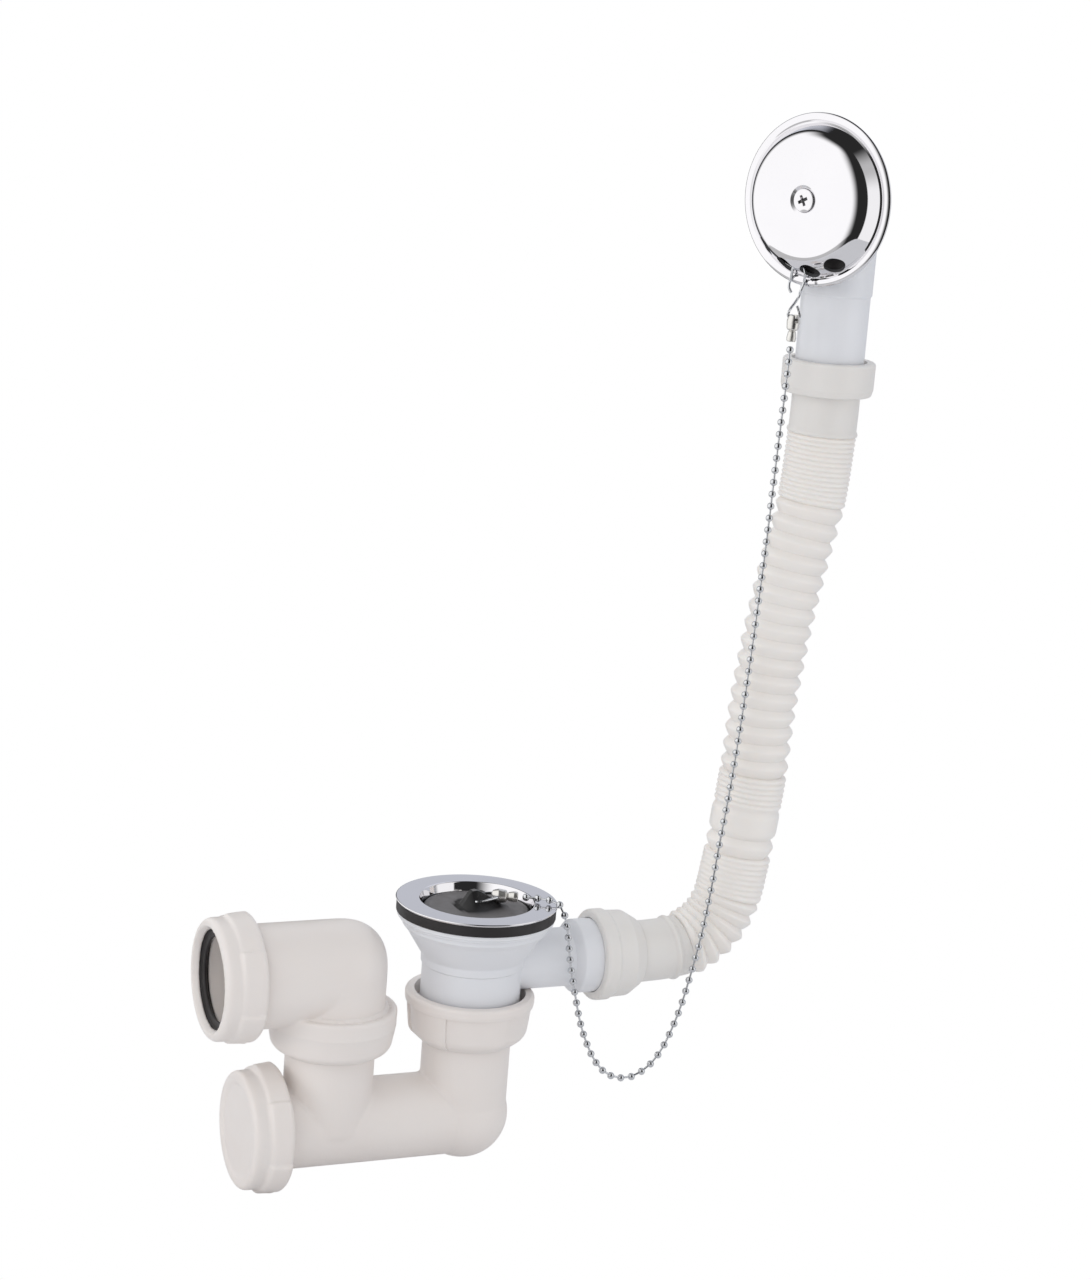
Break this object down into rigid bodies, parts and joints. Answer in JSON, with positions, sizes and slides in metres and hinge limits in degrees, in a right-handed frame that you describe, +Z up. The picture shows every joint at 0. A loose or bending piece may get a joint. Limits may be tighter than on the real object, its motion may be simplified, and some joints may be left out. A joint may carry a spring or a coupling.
{
  "type": "bath waste and overflow set",
  "caption": "Bath drain with chrome waste and rubber plug on a ball chain, shallow trap with cleaning cap and outlet elbow, and a bellows hose up to a round overflow cover.",
  "frame": {"origin": "middle of the waste, on the seat plane under its chrome rim, where the bath's floor is clamped", "axes": "+Z up, along the waste's axis; +X from the waste towards the overflow hose; the trap's outlet looks along -X"},
  "size_m": [0.2866, 0.078, 0.4668],
  "materials": {
    "chrome": "polished chrome plate",
    "chain_steel": "bright plated steel",
    "black_rubber": "smooth black rubber",
    "plug_rubber": "satin dark grey rubber",
    "body_white": "satin moulded plastic, cool white",
    "trap_white": "satin moulded plastic, warm white",
    "hose_white": "satin moulded plastic, warm white",
    "brass": "turned brass"
  },
  "bodies": {
    "root": {"waste_flange": "chrome", "waste_washer": "black_rubber", "waste_body": "body_white", "waste_screw": "chrome", "waste_insert": "brass", "plug": "plug_rubber", "plug_ring": "chain_steel", "plug_coupling": "chain_steel", "ball_chain": "chain_steel", "hook_coupling": "chain_steel", "chain_hook": "chain_steel", "inlet_nut": "trap_white", "inlet_seal": "black_rubber", "trap_body": "trap_white", "cleaning_cap": "trap_white", "cap_seal": "black_rubber", "riser_nut": "trap_white", "riser_seal": "black_rubber", "outlet_elbow": "trap_white", "outlet_nut": "trap_white", "outlet_seal": "black_rubber", "hose_nut": "hose_white", "hose_seal_low": "black_rubber", "overflow_hose": "hose_white", "hose_seal_top": "black_rubber", "overflow_nut": "hose_white", "overflow_body": "body_white", "overflow_gasket": "black_rubber", "screw_insert": "brass", "overflow_cover": "chrome", "cover_screw": "chrome"}
  },
  "joints": []
}
